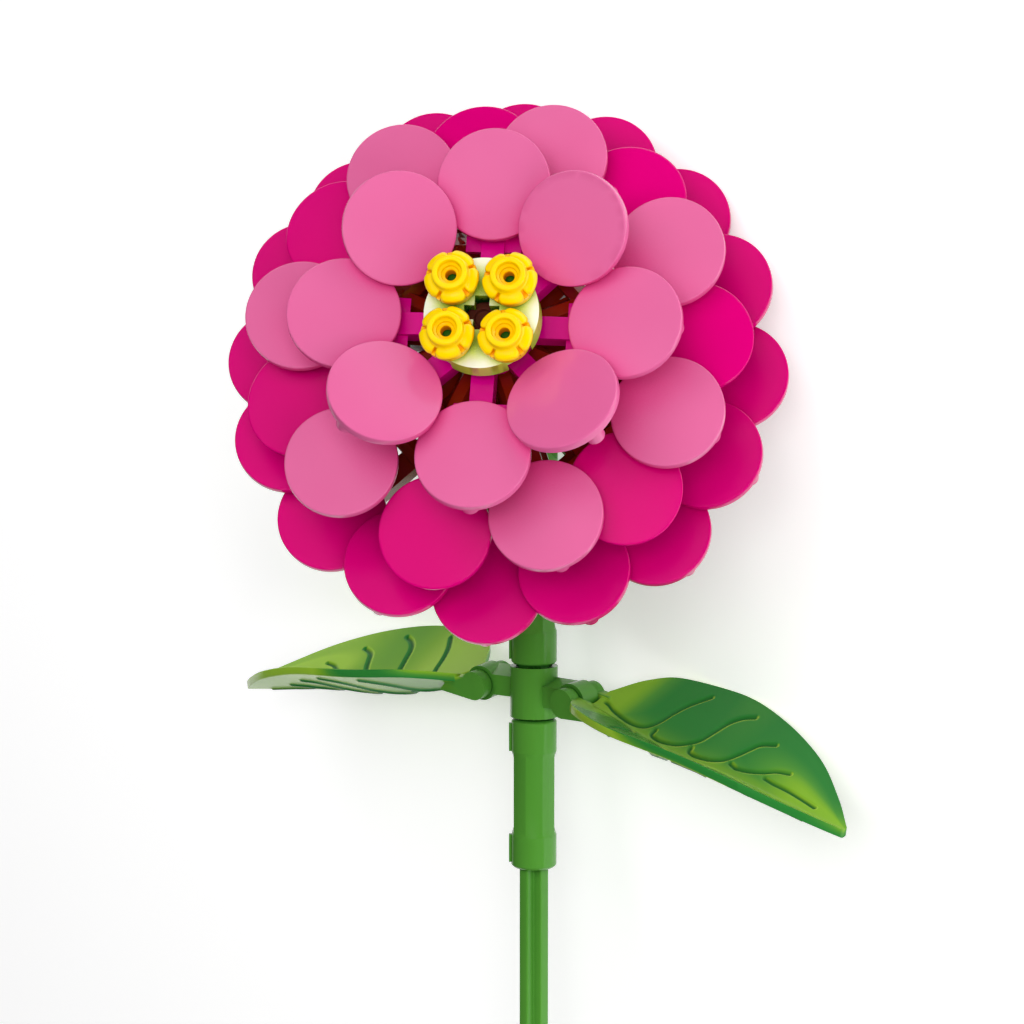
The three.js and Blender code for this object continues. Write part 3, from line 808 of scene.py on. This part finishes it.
def blade(stations=250, rows=132):
    """The folded, curved blade: a ring of points round the section at each station."""
    half_width, fold, spine = (profile_curve(p) for p in (LEAF_HALF_WIDTHS, LEAF_FOLDS, LEAF_SPINE))
    share = np.linspace(0, 1, stations)[:, None]
    inner = 1 - LEAF_RIM / 14
    steps = np.concatenate([[-1], np.linspace(-inner, inner, rows - 2), [1]])
    side = np.concatenate([steps, -steps])[None, :]
    under = np.concatenate([np.zeros(rows), np.ones(rows)])[None, :]
    across = side * half_width(share)
    angle = np.radians(fold(share))
    along = share * LEAF_LENGTH + 0 * across
    groove = vein_depth(along, across, half_width)
    rim = np.where(np.abs(side) == 1, LEAF_RIM, 0)
    height = spine(share) + fold_rise(across) * np.sin(angle)
    height = height - under * LEAF_THICKNESS - groove - rim * (1 - 2 * under)
    points = np.stack([along + LEAF_START, height + LEAF_LIFT, across * np.cos(angle)], axis=-1)
    around = 2 * rows
    verts = points.reshape(-1, 3).tolist()
    faces = []
    for i in range(stations - 1):
        here, ahead = i * around, (i + 1) * around
        for j in range(around):
            k = (j + 1) % around
            faces.append((here + j, here + k, ahead + k, ahead + j))
    for i, back in ((0, False), (stations - 1, True)):
        for j in range(rows - 1):
            other = around - 1 - j
            quad = (i * around + j, i * around + other, i * around + other - 1, i * around + j + 1)
            faces.append(tuple(reversed(quad)) if back else quad)
    return make_object(verts, faces)


def finger(side):
    """One of the two round-ended fingers that hold the barrel between them, with a wedge under the
    blade."""
    start = HINGE_WIDTH / 2 - FINGER_WIDTH
    r = FINGER_RADIUS
    knuckle = rod(r, start, HINGE_WIDTH / 2, 0, 64)
    outline = [(0.3, -r), (LEAF_START + 3.6, -0.9), (LEAF_START + 2.6, 0.1),
               (LEAF_START + 1, 0.6 * r), (0.3, 0.6 * r)]
    arm = prism(outline, start, HINGE_WIDTH / 2)
    join(knuckle, arm)
    bevelled(knuckle, 0.13, 3)
    if side < 0:
        knuckle.data.transform(Matrix.Scale(-1, 4, Z))
        knuckle.data.flip_normals()
    return knuckle


def mark_leaf(obj):
    """Keeps at each point, for the leaf's colours and painted shade, whether it is on the blade, in
    a vein or warm.
    """
    half_width, fold, spine = (profile_curve(p) for p in (LEAF_HALF_WIDTHS, LEAF_FOLDS, LEAF_SPINE))
    points = np.zeros(3 * len(obj.data.vertices))
    obj.data.vertices.foreach_get("co", points)
    x, y, z = points.reshape(-1, 3).T
    share = np.clip((x - LEAF_START) / LEAF_LENGTH, 0, 1)
    angle = np.radians(fold(share))
    across = z / np.cos(angle)
    top = spine(share) + fold_rise(across) * np.sin(angle) + LEAF_LIFT
    below = top - y
    slack = 0.05
    deepest = LEAF_THICKNESS + VEIN_DEPTH + slack
    on_blade = (x > LEAF_START - slack) & (below > -slack) & (below < deepest)
    width = half_width(share)
    side = across / np.maximum(width, 0.1)
    vein = vein_depth(x - LEAF_START, across, half_width) / VEIN_DEPTH
    warmth = leaf_warmth(share, side, across) * (below < LEAF_THICKNESS / 2)
    for name, values in (("blade", on_blade), ("vein", vein), ("warmth", warmth)):
        attribute = obj.data.attributes.new(name, "FLOAT", "POINT")
        attribute.data.foreach_set("value", values.astype(float))


def make_leaf(name, yaw, roll, droop, height):
    body = blade()
    join(body, finger(1), finger(-1))
    mark_leaf(body)
    hinge = shift(0, height, 0) @ turn(Y, yaw) @ turn(X, roll) @ shift(HINGE_REACH, 0, 0)
    pose = hinge @ turn(Z, -droop)
    place(body, name + "_visual", FLOWER @ pose, "leaf_green", smooth=40)


# ---------------------------------------------------------------- carriers inside the head


def finish_node(node, slot_name, width):
    """A CAD solid that keeps its shape gets rounded edges and its finish."""
    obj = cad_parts[node]
    add_bevel(obj, width * MM)
    obj.data.materials.clear()
    obj.data.materials.append(MATERIALS[slot_name])


def finish_inside():
    finish_node("carrier_front", "arm_magenta", 0.18)
    for node in ("carrier_middle", "carrier_back", "frame_front", "frame_back"):
        finish_node(node, "inner_red", 0.18)
    finish_node("stem_axle_inner", "stem_green", 0.15)


# ---------------------------------------------------------------- floor, light, camera

# Place in mm and pitch in degrees of the camera in the flower frame, fitted to the photo with the
# focal length held at this value, which the photo settles only roughly.
CAMERA_PLACE = Vector((-3.45, 79.66, 463.24))
CAMERA_PITCH = -6.35
CAMERA_FOCUS_PX = 3000
IMAGE_PX = 1024
SENSOR = 36.0


def make_camera():
    data = bpy.data.cameras.new("camera")
    data.sensor_width = SENSOR
    data.lens = CAMERA_FOCUS_PX * SENSOR / IMAGE_PX
    data.clip_start, data.clip_end = 0.01, 20
    camera = bpy.data.objects.new("camera", data)
    bpy.context.scene.collection.objects.link(camera)
    pose = FLOWER @ Matrix.Translation(CAMERA_PLACE) @ turn(X, CAMERA_PITCH)
    camera.matrix_world = Matrix.Translation(pose.translation * MM) @ pose.to_3x3().to_4x4()
    bpy.context.scene.camera = camera


def make_floor():
    size = 3.0
    mesh = bpy.data.meshes.new("floor")
    corners = [(-size, -size, 0), (size, -size, 0), (size, size, 0), (-size, size, 0)]
    mesh.from_pydata(corners, [], [(0, 1, 2, 3)])
    floor = bpy.data.objects.new("floor", mesh)
    bpy.context.scene.collection.objects.link(floor)
    material = bpy.data.materials.new("floor")
    material.use_nodes = True
    shader = material.node_tree.nodes["Principled BSDF"]
    shader.inputs["Base Color"].default_value = (0.96, 0.96, 0.96, 1)
    shader.inputs["Emission Color"].default_value = (1, 1, 1, 1)
    shader.inputs["Emission Strength"].default_value = 0.4
    shader.inputs["Roughness"].default_value = 0.9
    shader.inputs["Specular IOR Level"].default_value = 0.0
    mesh.materials.append(material)


TENT_LIGHT = 0.8
TENT_DARK = 0.06
# name, place in the flower frame in mm, size in m, power in W
LAMPS = [
    ("upper_left", (-480, 560, 760), 0.9, 5.8),
    ("lower_right", (420, -420, 760), 0.9, 4.8),
    ("front", (-40, 200, 900), 0.4, 3.2),
]
LAMP_TARGET = (0, 40, 30)


def area_light(name, place_mm, target_mm, size, power):
    """A square soft box, placed and aimed in the flower frame and unseen in gloss."""
    data = bpy.data.lights.new(name, "AREA")
    data.shape = "SQUARE"
    data.size = size
    data.energy = power
    light = bpy.data.objects.new(name, data)
    bpy.context.scene.collection.objects.link(light)
    start = FLOWER @ Vector(place_mm) * MM
    target = FLOWER @ Vector(target_mm) * MM
    aim = (target - start).to_track_quat("-Z", "Y").to_matrix().to_4x4()
    light.matrix_world = Matrix.Translation(start) @ aim
    light.visible_glossy = False


def make_light():
    """A white tent: even light from all round, darker in front of the flower's face, so that the
    gloss of the petals shows only at their rims."""
    world = bpy.data.worlds.new("studio")
    world.use_nodes = True
    nodes, links = world.node_tree.nodes, world.node_tree.links
    background = nodes["Background"]
    where = nodes.new("ShaderNodeTexCoord")
    toward = nodes.new("ShaderNodeVectorMath")
    toward.operation = "DOT_PRODUCT"
    toward.inputs[1].default_value = (FLOWER.to_3x3() @ Vector((-0.2, 0.6, 0.77))).normalized()
    links.new(where.outputs["Generated"], toward.inputs[0])
    tent = nodes.new("ShaderNodeMapRange")
    tent.interpolation_type = "SMOOTHSTEP"
    tent.inputs["From Min"].default_value = 0.25
    tent.inputs["From Max"].default_value = 0.75
    tent.inputs["To Min"].default_value = TENT_LIGHT
    tent.inputs["To Max"].default_value = TENT_DARK
    links.new(toward.outputs["Value"], tent.inputs["Value"])
    links.new(tent.outputs["Result"], background.inputs["Strength"])
    bpy.context.scene.world = world
    for name, start, size, power in LAMPS:
        area_light(name, start, LAMP_TARGET, size, power)
    view = bpy.context.scene.view_settings
    view.view_transform = "Standard"
    view.look = "None"


# ---------------------------------------------------------------- everything

make_petals()
make_center_plate()
make_blossoms()
make_neck()
make_elbow()
make_stem()
make_collar()
for leaf in LEAVES:
    make_leaf(*leaf)
finish_inside()
make_camera()
make_floor()
make_light()
